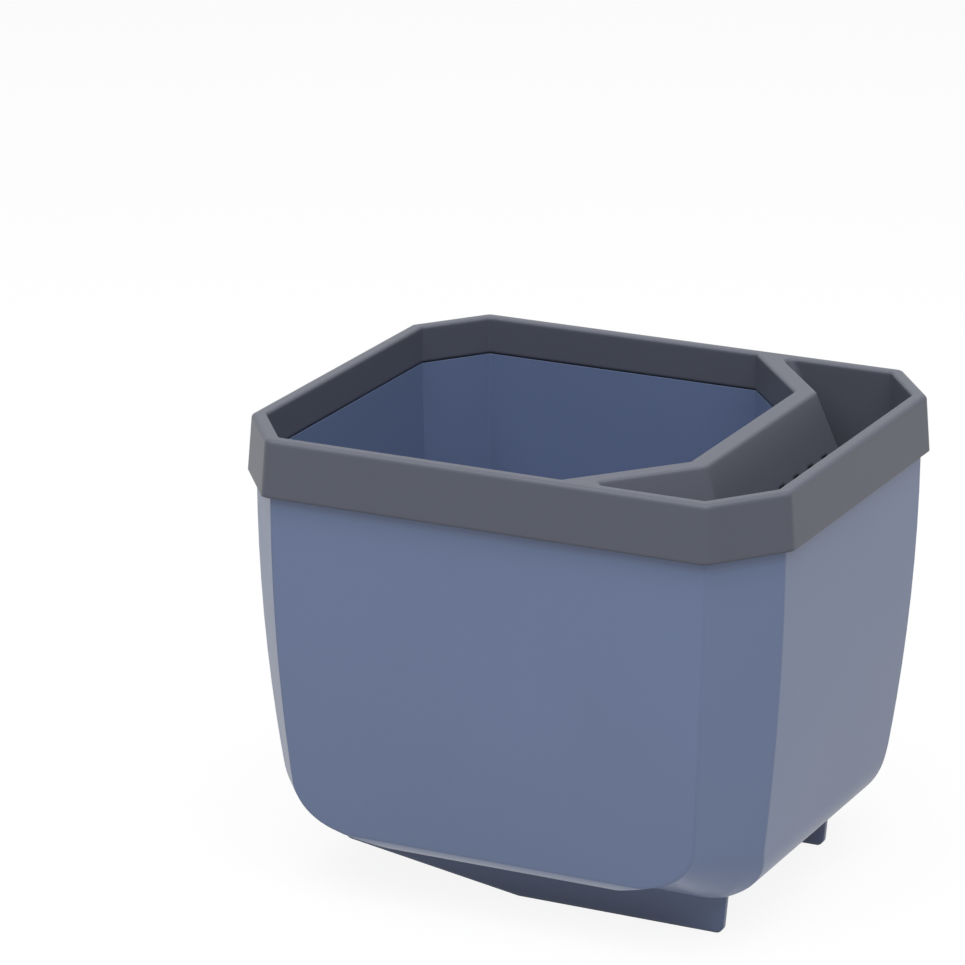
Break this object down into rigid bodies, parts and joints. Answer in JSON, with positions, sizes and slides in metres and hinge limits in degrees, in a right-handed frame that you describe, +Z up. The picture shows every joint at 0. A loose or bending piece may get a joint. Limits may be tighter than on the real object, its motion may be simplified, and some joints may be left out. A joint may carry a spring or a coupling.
{
  "type": "herb planter",
  "caption": "Self-watering indoor herb planter: a tapered octagonal pot on runners, with a lift-out inner pot, felt wicks and a rim frame that has a watering pocket.",
  "frame": {"origin": "middle of the planter's outline, on the surface it stands on", "axes": "+Z up, +X to the right along the long front, towards the watering pocket, +Y from the front to the back"},
  "size_m": [0.1828, 0.1588, 0.15],
  "materials": {
    "pot_blue": "fine matte moulded polypropylene",
    "inner_blue": "fine matte moulded polypropylene",
    "frame_grey": "fine matte moulded polypropylene",
    "wick_felt": "needled felt"
  },
  "bodies": {
    "pot": {"outer_pot": "pot_blue"},
    "frame": {"rim_frame": "frame_grey"},
    "liner": {"inner_pot": "inner_blue", "wick_front": "wick_felt", "wick_rear": "wick_felt"}
  },
  "joints": [
    {"name": "frame_lift", "type": "slide", "parent": "pot", "child": "frame", "axis": [0, 0, 1], "range_m": [0, 0.28]},
    {"name": "inner_pot_lift", "type": "slide", "parent": "pot", "child": "liner", "axis": [0, 0, 1], "range_m": [0, 0.14]}
  ],
  "couplings": [
    {"joint": "inner_pot_lift", "follows": "frame_lift", "ratio": 0.5}
  ]
}
